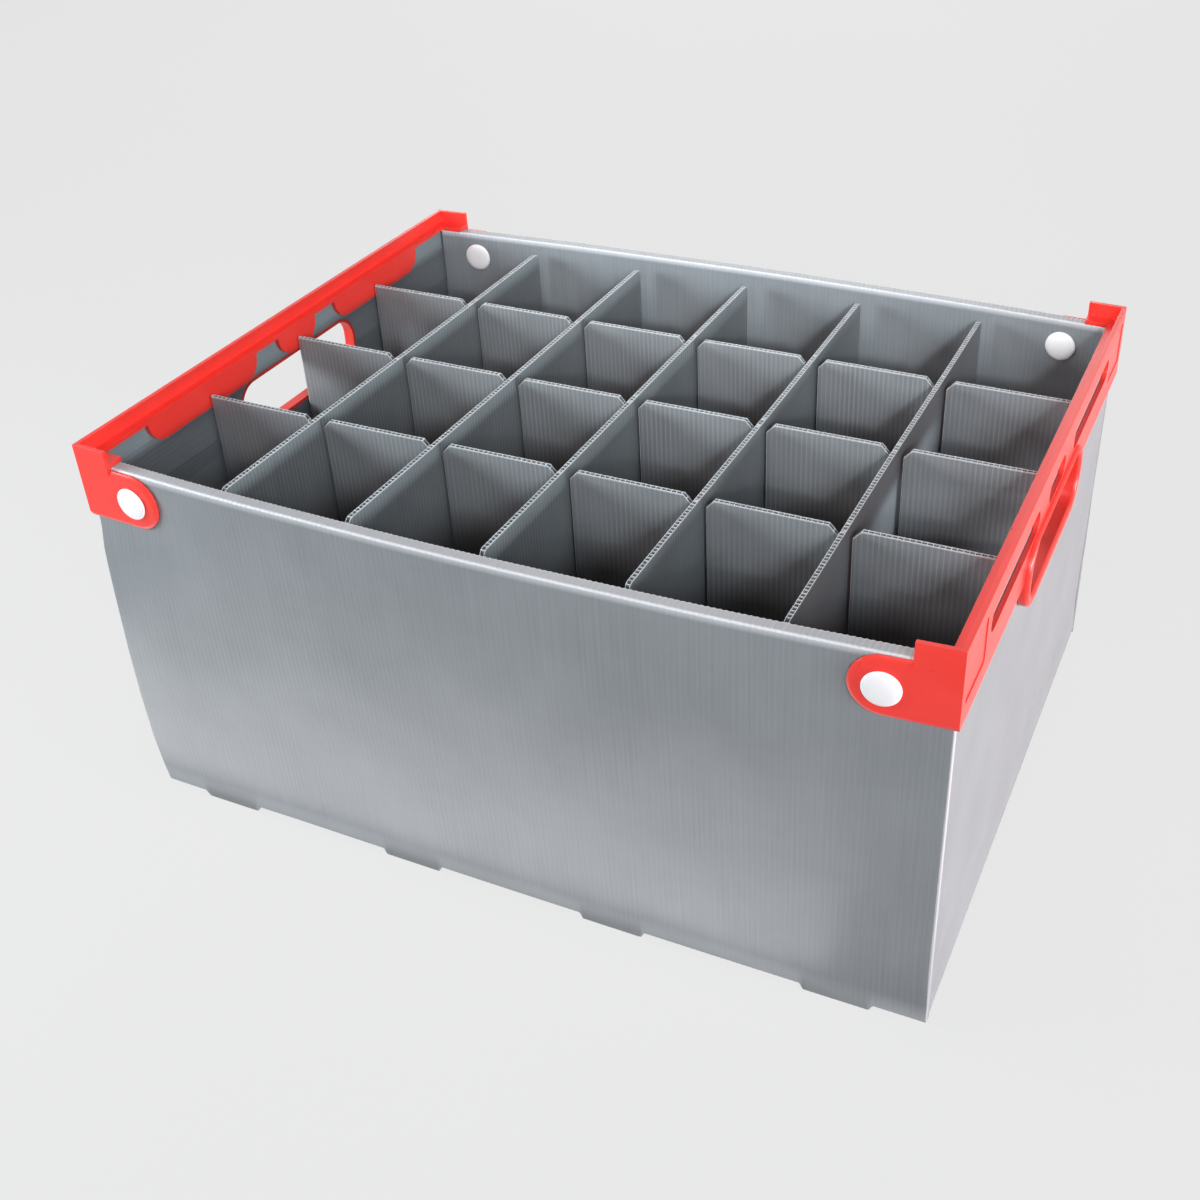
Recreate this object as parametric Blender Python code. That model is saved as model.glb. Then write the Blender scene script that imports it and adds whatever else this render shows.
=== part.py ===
"""Milk bottle crate: a folded twin-wall plastic box, two riveted moulded end frames and a nest of
eight slotted dividers that lifts out of it.

Metres, +Z up. The origin is at the middle of the footprint, on the surface that the crate stands on.
X runs along the long side and the front is towards -Y. The right-hand pieces are drawn first, and
the left-hand ones are the same pieces turned half a turn about Z.
"""

import math

import bmesh
import bpy

# The box, folded from one sheet
LENGTH = 0.500  # over the end walls
WIDTH = 0.383  # over the long walls, at the base
WALL_HEIGHT = 0.2375  # underside of the base to the top of the hem
SHEET = 0.0027  # thickness of the box's sheet
LAYER_PLAY = 0.0001  # between the layers of a long wall
BOW = 0.0085  # how far the middle of a long wall bows outwards
BOW_FULL_HEIGHT = 0.195  # above the base, where the bow stops growing
BOW_STATIONS = (0.0, 0.050, 0.100, 0.150, 0.196, 0.250)  # where a long wall's facets meet
FLAP_LENGTH = 0.060  # the end walls' flaps, held inside the long walls
CORNER_SLIT = 0.0020  # between an inner long wall and the end wall
TONGUE_CENTRES = (0.067, 0.201)  # the tongues under the long walls, from the middle
TONGUE_WIDTH = 0.042
TONGUE_DROP = 0.0035  # they carry the box this far off the ground
TONGUE_SLOPE = 0.003  # how much each end of a tongue slopes in
LOCK_TAB_WIDTH = 0.039  # the inner wall's tabs, in the slots behind the tongues
SLOT_PLAY = 0.0003

# The moulded end frames
GAP = 0.0003  # between pieces that touch
FRAME_WALL = 0.0027
RAIL_HEIGHT = 0.2488  # top of the rail above the underside of the base
CORNER_REACH = 0.020  # how far the rail turns the corner along a long wall
CORNER_OVERLAP = 0.0008  # the corner web beyond the inner edge of the hem
EAR_RADIUS = 0.017
EAR_BEVEL = 0.0024
EAR_BEVEL_DEPTH = 0.0016
RIVET_INSET = 0.0334  # from the end of the box
RIVET_HEIGHT = 0.2198  # above the underside of the base
HAND_HOLE = (0.122, 0.0335)  # clear width and height
HAND_HOLE_FOOT = 0.186  # above the underside of the base
HAND_HOLE_RADIUS = 0.0145
COLLAR_WALL = 0.002
RIM_WIDTH = 0.006
RIM_PROUD = 0.003
RIM_HEADROOM = 0.0022  # rim above the hand-hole
HOOK_DEPTH = 0.0145  # how far the inner hooks hang below the web
HOOK_RADIUS = 0.0135
HOOK_SPANS = ((-0.1450, -0.0430), (-0.0200, 0.0200), (0.0430, 0.1450))
WINDOW_FOOT = 0.2228  # the windows opposite the hooks, above the underside of the base
WINDOW_HEAD = 0.2365
WINDOW_RADIUS = 0.0066

# The rivets, each a plug and a socket
HEAD_PROFILE = ((0.0097, 0.0), (0.0097, 0.0008), (0.0088, 0.0017), (0.0060, 0.0024))  # radius, height
PIN_RADIUS = 0.0027
SLEEVE_BORE = 0.0030
SLEEVE_RADIUS = 0.0040
RIVET_HOLE = 0.0043
PIN_DEPTH = 0.0055  # pin's tip, inside the wall's outer face
BORE_DEPTH = 0.0062  # end of the sleeve's bore
SLEEVE_MOUTH = 0.0025  # beyond the wall's outer face
RIVET_SIDES = 20

# The dividers
DIVIDER_SHEET = 0.003
DIVIDER_TOP = 0.2315  # above the underside of the base
LONG_DIVIDER = 0.486
CROSS_DIVIDER = 0.363
CROSS_PITCH = 0.082  # between cross dividers, along X
LONG_PITCH = 0.0897  # between long dividers, along Y
NEST_OFFSET = -0.001  # the nest sits this far towards the front
SLOT_WIDTH = 0.008
SLOT_OVERRUN = 0.001  # each slot runs this far past half height
LEAD_IN = (0.005, 0.0055)  # width and depth of the chamfers at a slot's mouth
CROSS_CORNER = 0.005
ARC_STEPS = 6

HALF_LENGTH = LENGTH / 2
HALF_WIDTH = WIDTH / 2
BASE_FOOT = TONGUE_DROP
BASE_TOP = BASE_FOOT + SHEET
BOX_TOP = BASE_FOOT + WALL_HEIGHT
HEM = 3 * SHEET + 2 * LAYER_PLAY  # a long wall's whole thickness
RIVET_X = HALF_LENGTH - RIVET_INSET
RIVET_Z = BASE_FOOT + RIVET_HEIGHT
PLATE_IN = HALF_LENGTH + GAP  # the end plate's faces along X
PLATE_OUT = PLATE_IN + FRAME_WALL
FLANGE_IN = HALF_WIDTH + GAP  # the corner flanges' faces along Y
FLANGE_OUT = FLANGE_IN + FRAME_WALL
WEB_FOOT = BOX_TOP + GAP
WEB_TOP = WEB_FOOT + FRAME_WALL
RAIL_TOP = BASE_FOOT + RAIL_HEIGHT
FLANGE_FOOT = RIVET_Z - EAR_RADIUS
HOOK_OUT = HALF_LENGTH - SHEET - GAP
HOOK_IN = HOOK_OUT - FRAME_WALL
DIVIDER_FOOT = BASE_TOP + GAP
DIVIDER_HEAD = BASE_FOOT + DIVIDER_TOP
SLOT_MIDDLE = (DIVIDER_FOOT + DIVIDER_HEAD) / 2

for leftover in list(bpy.data.objects):
    bpy.data.objects.remove(leftover)


def principled(name, colour, roughness):
    material = bpy.data.materials.new(name)
    material.use_nodes = True
    shader = material.node_tree.nodes["Principled BSDF"]
    shader.inputs["Base Color"].default_value = (*colour, 1.0)
    shader.inputs["Roughness"].default_value = roughness
    shader.inputs["Metallic"].default_value = 0.0
    return material


BOX_GREY = principled("box_grey", (0.31, 0.34, 0.36), 0.42)
DIVIDER_GREY = principled("divider_grey", (0.27, 0.29, 0.31), 0.45)
FRAME_RED = principled("frame_red", (0.80, 0.035, 0.025), 0.38)
RIVET_WHITE = principled("rivet_white", (0.83, 0.83, 0.81), 0.40)


def add_object(name, mesh, material):
    body = bpy.data.objects.new(name, mesh)
    bpy.context.scene.collection.objects.link(body)
    mesh.materials.append(material)
    return body


def loft(name, rings, material):
    """A closed body through rings of points that match one to one, with a flat cap at each end."""
    sheet = bmesh.new()
    loops = [[sheet.verts.new(point) for point in ring] for ring in rings]
    for lower, upper in zip(loops, loops[1:]):
        count = len(lower)
        for i in range(count):
            j = (i + 1) % count
            sheet.faces.new((lower[i], lower[j], upper[j], upper[i]))
    sheet.faces.new(loops[0])
    sheet.faces.new(loops[-1])
    bmesh.ops.recalc_face_normals(sheet, faces=sheet.faces)
    mesh = bpy.data.meshes.new(name)
    sheet.to_mesh(mesh)
    sheet.free()
    return add_object(name, mesh, material)


def on_x(outline, x):
    return [(x, a, b) for a, b in outline]


def on_y(outline, y):
    return [(a, y, b) for a, b in outline]


def outline_of(corners):
    """Points round an outline whose corners are (a, b, radius), each rounded by its radius."""
    points = []
    for i, (a, b, radius) in enumerate(corners):
        if radius == 0:
            points.append((a, b))
            continue
        before = corners[i - 1]
        after = corners[(i + 1) % len(corners)]
        back = math.atan2(before[1] - b, before[0] - a)
        ahead = math.atan2(after[1] - b, after[0] - a)
        turn = (ahead - back + math.pi) % (2 * math.pi) - math.pi
        middle = back + turn / 2
        reach = radius / math.sin(abs(turn) / 2)
        centre = (a + reach * math.cos(middle), b + reach * math.sin(middle))
        sweep = math.copysign(math.pi - abs(turn), turn)
        for step in range(ARC_STEPS + 1):
            angle = middle + math.pi + sweep * (0.5 - step / ARC_STEPS)
            points.append((centre[0] + radius * math.cos(angle), centre[1] + radius * math.sin(angle)))
    return points


def rounded_box(a_low, a_high, b_low, b_high, lower_radius, upper_radius):
    return outline_of(
        (
            (a_low, b_low, lower_radius),
            (a_high, b_low, lower_radius),
            (a_high, b_high, upper_radius),
            (a_low, b_high, upper_radius),
        )
    )


def combine(body, tool, operation):
    """Join the tool to the body, or cut it away, and discard the tool."""
    modifier = body.modifiers.new(operation, "BOOLEAN")
    modifier.operation = operation
    modifier.solver = "EXACT"
    modifier.object = tool
    graph = bpy.context.evaluated_depsgraph_get()
    result = bpy.data.meshes.new_from_object(body.evaluated_get(graph))
    result.name = body.name
    body.modifiers.remove(modifier)
    body.data = result
    bpy.data.objects.remove(tool)


def skin(name, steps, extra_x, extra_z, material):
    """The closed outer skin of boxes that are added and cut away in turn. Each step is
    (is_added, low corner, high corner). extra_x and extra_z are further lines to divide it at."""
    lines = []
    for axis, extra in enumerate((extra_x, (), extra_z)):
        values = {round(corner[axis], 7) for step in steps for corner in step[1:]}
        values |= {round(value, 7) for value in extra}
        lines.append(sorted(values))
    sizes = [len(line) - 1 for line in lines]

    def is_solid(cell):
        if any(not 0 <= cell[axis] < sizes[axis] for axis in range(3)):
            return False
        middle = [(lines[axis][cell[axis]] + lines[axis][cell[axis] + 1]) / 2 for axis in range(3)]
        solid = False
        for is_added, low, high in steps:
            if all(low[axis] < middle[axis] < high[axis] for axis in range(3)):
                solid = is_added
        return solid

    cells = [(i, j, k) for i in range(sizes[0]) for j in range(sizes[1]) for k in range(sizes[2])]
    filled = {cell for cell in cells if is_solid(cell)}
    sheet = bmesh.new()
    made = {}

    def corner_at(i, j, k):
        if (i, j, k) not in made:
            made[i, j, k] = sheet.verts.new((lines[0][i], lines[1][j], lines[2][k]))
        return made[i, j, k]

    for cell in sorted(filled):
        for axis in range(3):
            for side in (0, 1):
                beside = list(cell)
                beside[axis] += 2 * side - 1
                if tuple(beside) in filled:
                    continue
                u, v = (axis + 1) % 3, (axis + 2) % 3
                face = []
                for du, dv in ((0, 0), (1, 0), (1, 1), (0, 1)):
                    index = list(cell)
                    index[axis] += side
                    index[u] += du
                    index[v] += dv
                    face.append(corner_at(*index))
                sheet.faces.new(face if side else face[::-1])
    mesh = bpy.data.meshes.new(name)
    sheet.to_mesh(mesh)
    sheet.free()
    return add_object(name, mesh, material)


def bow_at(x, z):
    """How far a long wall bows outwards: most at mid length, none at its ends or its foot."""
    along = abs(x)
    if along >= HALF_LENGTH:
        return 0.0
    foot = BASE_TOP + LAYER_PLAY
    rise = min(1.0, max(0.0, (z - foot) / (BASE_FOOT + BOW_FULL_HEIGHT - foot)))
    for near, far in zip(BOW_STATIONS, BOW_STATIONS[1:]):
        if along <= far:
            share = (along - near) / (far - near)
            depth_near = 1 - (near / HALF_LENGTH) ** 2
            depth_far = 1 - (far / HALF_LENGTH) ** 2
            return BOW * rise * (depth_near + share * (depth_far - depth_near))
    return 0.0


def bow_with_wall(body):
    """Move everything at a long wall outwards with it. The rest of the crate stays straight."""
    inner_limit = HALF_WIDTH - HEM - 2 * CORNER_OVERLAP
    for vertex in body.data.vertices:
        x, y, z = vertex.co
        if abs(y) > inner_limit or body.name.startswith("rivet"):
            vertex.co.y += math.copysign(bow_at(x, z), y)


def shade(body):
    body.data.shade_smooth()
    body.data.set_sharp_from_angle(angle=math.radians(30))


def make_box():
    """The folded sheet: base, end walls with flaps, and long walls of two layers under a hem."""
    steps = [(True, (-HALF_LENGTH, -HALF_WIDTH, BASE_FOOT), (HALF_LENGTH, HALF_WIDTH, BASE_TOP))]
    layer = SHEET + LAYER_PLAY
    end_reach = HALF_WIDTH - layer
    inner_reach = HALF_LENGTH - SHEET - CORNER_SLIT

    def add(x_low, x_high, y_near, y_far, z_low, z_high, is_added=True):
        y_low, y_high = sorted((y_near, y_far))
        steps.append((is_added, (x_low, y_low, z_low), (x_high, y_high, z_high)))

    for side in (-1, 1):
        y_out = side * HALF_WIDTH
        y_in = side * (HALF_WIDTH - HEM)
        for centre in [sign * place for sign in (-1, 1) for place in TONGUE_CENTRES]:
            slot = LOCK_TAB_WIDTH / 2 + SLOT_PLAY
            y_slot_in = y_in - side * SLOT_PLAY
            y_slot_out = y_out - side * SHEET
            add(centre - slot, centre + slot, y_slot_in, y_slot_out, BASE_FOOT, BASE_TOP, False)
            tongue = TONGUE_WIDTH / 2
            add(centre - tongue, centre + tongue, y_out, y_out - side * SHEET, 0.0, BASE_FOOT)
            tab = LOCK_TAB_WIDTH / 2
            add(centre - tab, centre + tab, y_in, y_in + side * SHEET, BASE_FOOT, BASE_TOP + LAYER_PLAY)
        add(-HALF_LENGTH, HALF_LENGTH, y_out, y_out - side * SHEET, BASE_FOOT, BOX_TOP)
        add(-inner_reach, inner_reach, y_out, y_in, BOX_TOP - SHEET, BOX_TOP)
        add(-inner_reach, inner_reach, y_in, y_in + side * SHEET, BASE_TOP + LAYER_PLAY, BOX_TOP)
        for end in (-1, 1):
            x_low, x_high = sorted((end * (HALF_LENGTH - FLAP_LENGTH), end * HALF_LENGTH))
            y_flap = y_out - side * layer
            foot = BASE_TOP + LAYER_PLAY
            add(x_low, x_high, y_flap, y_flap - side * SHEET, foot, BOX_TOP - SHEET - LAYER_PLAY)
    for end in (-1, 1):
        x_low, x_high = sorted((end * (HALF_LENGTH - SHEET), end * HALF_LENGTH))
        add(x_low, x_high, -end_reach, end_reach, BASE_FOOT, BOX_TOP)

    stations = [sign * place for sign in (-1, 1) for place in BOW_STATIONS]
    box = skin("box_blank", steps, stations, (BASE_FOOT + BOW_FULL_HEIGHT,), BOX_GREY)
    for vertex in box.data.vertices:
        if vertex.co.z < BASE_FOOT / 2:
            place = min(TONGUE_CENTRES, key=lambda centre: abs(abs(vertex.co.x) - centre))
            centre = math.copysign(place, vertex.co.x)
            outer = abs(vertex.co.x - centre) > TONGUE_WIDTH / 2 - TONGUE_SLOPE
            if outer:
                vertex.co.x -= math.copysign(TONGUE_SLOPE, vertex.co.x - centre)

    hole = hand_hole_outline(COLLAR_WALL + GAP)
    for end in (-1, 1):
        x_low, x_high = sorted((end * (HALF_LENGTH - 2 * SHEET), end * (HALF_LENGTH + SHEET)))
        combine(box, loft("cutter", (on_x(hole, x_low), on_x(hole, x_high)), BOX_GREY), "DIFFERENCE")
        for side in (-1, 1):
            combine(box, rivet_cutter(end * RIVET_X, side, BOX_GREY), "DIFFERENCE")
    bow_with_wall(box)
    return box


def hand_hole_outline(margin):
    """The hand-hole's outline (Y, Z), grown by a margin all round."""
    half = HAND_HOLE[0] / 2 + margin
    foot = BASE_FOOT + HAND_HOLE_FOOT - margin
    head = BASE_FOOT + HAND_HOLE_FOOT + HAND_HOLE[1] + margin
    radius = HAND_HOLE_RADIUS + margin
    return rounded_box(-half, half, foot, head, radius, radius)


def circle(radius, x, y, z):
    angles = [2 * math.pi * i / RIVET_SIDES for i in range(RIVET_SIDES)]
    return [(x + radius * math.cos(angle), y, z + radius * math.sin(angle)) for angle in angles]


def rivet_cutter(x, side, material):
    ends = (HALF_WIDTH - 2 * HEM, HALF_WIDTH + HEM)
    return loft("cutter", [circle(RIVET_HOLE, x, side * y, RIVET_Z) for y in ends], material)


def ear_outline(radius):
    """A stadium's free end (X, Z) round the rivet, running on into the corner flange."""
    root = HALF_LENGTH - CORNER_REACH + FRAME_WALL
    angles = [math.radians(270 - 180 * i / (2 * ARC_STEPS)) for i in range(2 * ARC_STEPS + 1)]
    arc = [(RIVET_X + radius * math.cos(angle), RIVET_Z + radius * math.sin(angle)) for angle in angles]
    return [(root, RIVET_Z - radius)] + arc + [(root, RIVET_Z + radius)]


def make_end_frame(name, is_left):
    """One moulding: plate outside the end wall, web over its edge, hooks inside, ears at the corners."""
    web_in = HALF_WIDTH - HEM - CORNER_OVERLAP
    corner_in = HALF_LENGTH - CORNER_REACH
    steps = [
        (True, (PLATE_IN, -FLANGE_OUT, FLANGE_FOOT), (PLATE_OUT, FLANGE_OUT, RAIL_TOP)),
        (True, (HOOK_IN, -FLANGE_OUT, WEB_FOOT), (PLATE_OUT, FLANGE_OUT, WEB_TOP)),
    ]
    for side in (-1, 1):
        y_low, y_high = sorted((side * web_in, side * FLANGE_OUT))
        steps.append((True, (corner_in, y_low, WEB_FOOT), (PLATE_OUT, y_high, WEB_TOP)))
        y_low, y_high = sorted((side * FLANGE_IN, side * FLANGE_OUT))
        steps.append((True, (corner_in, y_low, FLANGE_FOOT), (PLATE_OUT, y_high, RAIL_TOP)))
    frame = skin(name, steps, (), (), FRAME_RED)

    for side in (-1, 1):
        outer = ear_outline(EAR_RADIUS)
        inner = ear_outline(EAR_RADIUS - EAR_BEVEL)
        levels = (
            on_y(outer, side * FLANGE_IN),
            on_y(outer, side * (FLANGE_OUT - EAR_BEVEL_DEPTH)),
            on_y(inner, side * FLANGE_OUT),
        )
        combine(frame, loft("ear", levels, FRAME_RED), "UNION")
    for low, high in HOOK_SPANS:
        hook = rounded_box(low, high, WEB_FOOT - HOOK_DEPTH, WEB_FOOT + FRAME_WALL / 2, HOOK_RADIUS, 0)
        combine(frame, loft("hook", (on_x(hook, HOOK_IN), on_x(hook, HOOK_OUT)), FRAME_RED), "UNION")
    collar = hand_hole_outline(COLLAR_WALL)
    collar_ends = (HALF_LENGTH - SHEET, PLATE_OUT - FRAME_WALL / 2)
    combine(frame, loft("collar", [on_x(collar, x) for x in collar_ends], FRAME_RED), "UNION")
    half = HAND_HOLE[0] / 2 + RIM_WIDTH
    foot = BASE_FOOT + HAND_HOLE_FOOT
    head = foot + HAND_HOLE[1] + RIM_HEADROOM
    rim = rounded_box(-half, half, foot - RIM_WIDTH, head, HAND_HOLE_RADIUS + RIM_WIDTH, HAND_HOLE_RADIUS)
    rim_ends = (PLATE_IN, PLATE_OUT + RIM_PROUD)
    combine(frame, loft("rim", [on_x(rim, x) for x in rim_ends], FRAME_RED), "UNION")

    clear = hand_hole_outline(0)
    clear_ends = (HALF_LENGTH - 4 * SHEET, PLATE_OUT + 2 * RIM_PROUD)
    combine(frame, loft("cutter", [on_x(clear, x) for x in clear_ends], FRAME_RED), "DIFFERENCE")
    for low, high in HOOK_SPANS:
        foot, head = BASE_FOOT + WINDOW_FOOT, BASE_FOOT + WINDOW_HEAD
        window = rounded_box(low, high, foot, head, WINDOW_RADIUS, WINDOW_RADIUS)
        window_ends = (PLATE_IN - GAP / 2, PLATE_OUT + GAP)
        combine(frame, loft("cutter", [on_x(window, x) for x in window_ends], FRAME_RED), "DIFFERENCE")
    for side in (-1, 1):
        combine(frame, rivet_cutter(RIVET_X, side, FRAME_RED), "DIFFERENCE")
    bow_with_wall(frame)
    shade(frame)
    if is_left:
        frame.rotation_euler.z = math.pi
    return frame


def turned(name, profile, x, side):
    """A round piece on a line along Y. Each profile point is (radius, distance from the centre plane)."""
    rings = [circle(radius, x, side * distance, RIVET_Z) for radius, distance in profile]
    piece = loft(name, rings, RIVET_WHITE)
    bow_with_wall(piece)
    shade(piece)
    return piece


def make_rivets():
    seat_out = FLANGE_OUT + GAP
    seat_in = HALF_WIDTH - HEM - GAP
    plug = [(PIN_RADIUS, HALF_WIDTH - PIN_DEPTH), (PIN_RADIUS, seat_out)]
    plug += [(radius, seat_out + height) for radius, height in HEAD_PROFILE]
    socket = [
        (SLEEVE_BORE, HALF_WIDTH - BORE_DEPTH),
        (SLEEVE_BORE, HALF_WIDTH + SLEEVE_MOUTH),
        (SLEEVE_RADIUS, HALF_WIDTH + SLEEVE_MOUTH),
        (SLEEVE_RADIUS, seat_in),
    ]
    socket += [(radius, seat_in - height) for radius, height in HEAD_PROFILE]
    for end_name, end in (("left", -1), ("right", 1)):
        for side_name, side in (("front", -1), ("back", 1)):
            corner = f"{side_name}_{end_name}"
            turned(f"rivet_plug_{corner}", plug, end * RIVET_X, side)
            turned(f"rivet_socket_{corner}", socket, end * RIVET_X, side)


def slotted_edge(centres, edge, inwards):
    """Points along an edge with a slot at each centre. The slots run inwards (+1 up, -1 down) past
    half height, and have a chamfer on each side of the mouth."""
    half = SLOT_WIDTH / 2
    width, depth = LEAD_IN
    bottom = SLOT_MIDDLE + inwards * SLOT_OVERRUN
    points = []
    for centre in centres:
        shoulder = edge + inwards * depth
        points += [(centre - half - width, edge), (centre - half, shoulder), (centre - half, bottom)]
        points += [(centre + half, bottom), (centre + half, shoulder), (centre + half + width, edge)]
    return points


def make_dividers():
    half = DIVIDER_SHEET / 2
    across = [CROSS_PITCH * step for step in (-2, -1, 0, 1, 2)]
    along = [NEST_OFFSET + LONG_PITCH * step for step in (-1, 0, 1)]
    reach = LONG_DIVIDER / 2
    top_edge = [(-reach, DIVIDER_HEAD)] + slotted_edge(across, DIVIDER_HEAD, -1) + [(reach, DIVIDER_HEAD)]
    outline = top_edge + [(reach, DIVIDER_FOOT), (-reach, DIVIDER_FOOT)]
    for place, y in zip(("front", "middle", "back"), along):
        faces = (on_y(outline, -half), on_y(outline, half))
        divider = loft(f"long_divider_{place}", faces, DIVIDER_GREY)
        divider.location.y = y
    reach = CROSS_DIVIDER / 2
    corners = ((-reach, DIVIDER_FOOT, CROSS_CORNER), (-reach, DIVIDER_HEAD, CROSS_CORNER))
    corners += ((reach, DIVIDER_HEAD, CROSS_CORNER), (reach, DIVIDER_FOOT, CROSS_CORNER))
    rounded = outline_of(corners)
    slots = slotted_edge(along, DIVIDER_FOOT, 1)
    outline = rounded + slots[::-1]
    for number, x in enumerate(across, 1):
        faces = (on_x(outline, -half), on_x(outline, half))
        divider = loft(f"cross_divider_{number}", faces, DIVIDER_GREY)
        divider.location.x = x


make_box()
make_end_frame("end_frame_right", False)
make_end_frame("end_frame_left", True)
make_rivets()
make_dividers()
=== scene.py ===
"""The look of the milk bottle crate: a box and eight dividers of fluted twin-wall sheet, two moulded
red end frames and four white rivets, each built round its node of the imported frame.

Metres, +Z up. X runs along the long side and the front is towards -Y.
"""

import math

import bmesh
import bpy
import numpy as np
from mathutils import Matrix, Vector


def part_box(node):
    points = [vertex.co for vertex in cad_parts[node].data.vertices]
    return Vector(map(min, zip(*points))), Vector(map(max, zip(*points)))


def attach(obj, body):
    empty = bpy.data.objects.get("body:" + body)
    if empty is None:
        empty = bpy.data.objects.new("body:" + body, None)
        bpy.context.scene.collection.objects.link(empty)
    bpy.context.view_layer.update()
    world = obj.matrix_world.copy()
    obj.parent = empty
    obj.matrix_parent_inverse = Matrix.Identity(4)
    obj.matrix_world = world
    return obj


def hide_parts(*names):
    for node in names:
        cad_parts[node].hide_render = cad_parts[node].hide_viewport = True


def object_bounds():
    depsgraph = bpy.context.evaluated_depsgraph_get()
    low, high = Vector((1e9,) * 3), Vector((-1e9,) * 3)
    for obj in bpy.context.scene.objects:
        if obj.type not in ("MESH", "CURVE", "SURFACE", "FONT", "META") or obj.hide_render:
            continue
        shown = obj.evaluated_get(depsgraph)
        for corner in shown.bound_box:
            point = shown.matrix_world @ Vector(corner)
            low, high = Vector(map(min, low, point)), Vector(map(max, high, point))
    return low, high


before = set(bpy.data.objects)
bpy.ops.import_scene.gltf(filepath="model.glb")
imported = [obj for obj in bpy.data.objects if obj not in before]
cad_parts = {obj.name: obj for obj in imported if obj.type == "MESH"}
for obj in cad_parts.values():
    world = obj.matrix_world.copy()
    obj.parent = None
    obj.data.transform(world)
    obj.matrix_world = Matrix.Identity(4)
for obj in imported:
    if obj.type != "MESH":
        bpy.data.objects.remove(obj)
cad_low, cad_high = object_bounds()


def middle_of(node):
    low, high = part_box(node)
    return (low + high) / 2


# Places read from the frame
HALF_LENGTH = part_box("box_blank")[1].x
BOX_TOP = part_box("box_blank")[1].z
RAIL_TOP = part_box("end_frame_right")[1].z
RIVET_X = middle_of("rivet_plug_front_right").x
RIVET_Z = middle_of("rivet_plug_front_right").z

# The box's sheet, as in the frame
HALF_WIDTH = 0.1915
SHEET = 0.0027
LAYER_PLAY = 0.0001
HEM = 3 * SHEET + 2 * LAYER_PLAY
BASE_FOOT = 0.0035
BASE_TOP = BASE_FOOT + SHEET
BOW = 0.0085
BOW_TOP = 0.1985  # the bow stops growing at this height
BOW_EASE = 0.04  # the share of the bow that the stiff hem takes back
FOOT_BOW = 0.0018
SWELL_HEIGHTS = (0.0, 0.006, 0.03, 0.065, 0.10, 0.135, 0.17, 0.19, 0.203)
SWELL_SHARES = (0.25, 0.40, 0.85, 1.0, 0.97, 0.82, 0.62, 0.42, 0.0)
SWELL_OUT = (0.0046, 0.0034)  # along X and along Y, at the left-hand corners
SWELL_START = 0.14  # how far left of the middle the swell begins
SWELL_LENGTH = 0.11
FOOT_SPREAD = 0.0014  # how far the right-hand end spreads at the foot
RIPPLE = 0.00016
CORNER_SLIT = 0.0020
INNER_REACH = HALF_LENGTH - SHEET - CORNER_SLIT
TONGUE_CENTRES = (-0.201, -0.067, 0.067, 0.201)
TONGUE_HALF = 0.021
TONGUE_SLOPE = 0.003

# Fluting
FLUTE = 0.00307  # from rib to rib
FLUTE_STEPS = 6
SKIN_SAG = 0.00006  # how far the skin sinks between two ribs
CREASE_RADIUS = 0.0012
INNER_CREASE_RADIUS = 0.0009
FOLD_RADIUS = 0.0018
CREASE_BEAD = 0.00028  # depth of the crushed flutes along a crease
FACE_SHARES = (0.05, 0.15, 0.3, 0.45, 0.6, 0.7, 0.76, 0.82, 0.88, 0.94, 0.985)
HEM_SHARES = (0.1, 0.3, 0.5, 0.7, 0.9)
BASE_BEND = 0.0005  # inner radius of the fold from the base into an end wall
SIDE_EDGE_ROUND = 0.0014
SIDE_EDGE_BEAD = 0.00012

# The end frames, as in the frame
GAP = 0.0003
FRAME_WALL = 0.0027
PLATE_IN = HALF_LENGTH + GAP
PLATE_OUT = PLATE_IN + FRAME_WALL
FLANGE_IN = HALF_WIDTH + GAP
FLANGE_OUT = FLANGE_IN + FRAME_WALL
WEB_FOOT = BOX_TOP + GAP
WEB_TOP = WEB_FOOT + FRAME_WALL
HOOK_OUT = HALF_LENGTH - SHEET - GAP
HOOK_IN = HOOK_OUT - FRAME_WALL
CORNER_IN = HALF_LENGTH - 0.020
WEB_SIDE = HALF_WIDTH - HEM - 0.0008
EAR_RADIUS = 0.017
EAR_BEVEL = 0.0030
EAR_BEVEL_DEPTH = 0.0016
HAND_HOLE = (0.061, 0.1895, 0.2230)  # half width, foot and head
HAND_HOLE_RADIUS = 0.0145
COLLAR_WALL = 0.002
RIM_WIDTH = 0.006
RIM_PROUD = 0.003
RIM_HEADROOM = 0.0022
RIM_ROUND = 0.0023
HOOK_SPANS = ((-0.1450, -0.0430), (-0.0200, 0.0200), (0.0430, 0.1450))
HOOK_DEPTH = 0.0145
HOOK_RADIUS = 0.0135
WINDOW = (0.2263, 0.2400, 0.0066)  # foot, head and corner radius
PAD = (0.1530, 0.1875, 0.2180, 0.2445)  # near end, far end, foot and head of each sunk field
PAD_DEPTH = 0.0005
PAD_RADIUS = 0.0015
RIVET_HOLE = 0.0043
EDGE_ROUND = 0.0005

# The rivets, as in the frame
HEAD_RADIUS = 0.0097
HEAD_HEIGHT = 0.0024
HEAD_RIM = 0.0007
PIN_RADIUS = 0.0027
SLEEVE_BORE = 0.0030
SLEEVE_RADIUS = 0.0040

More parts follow.
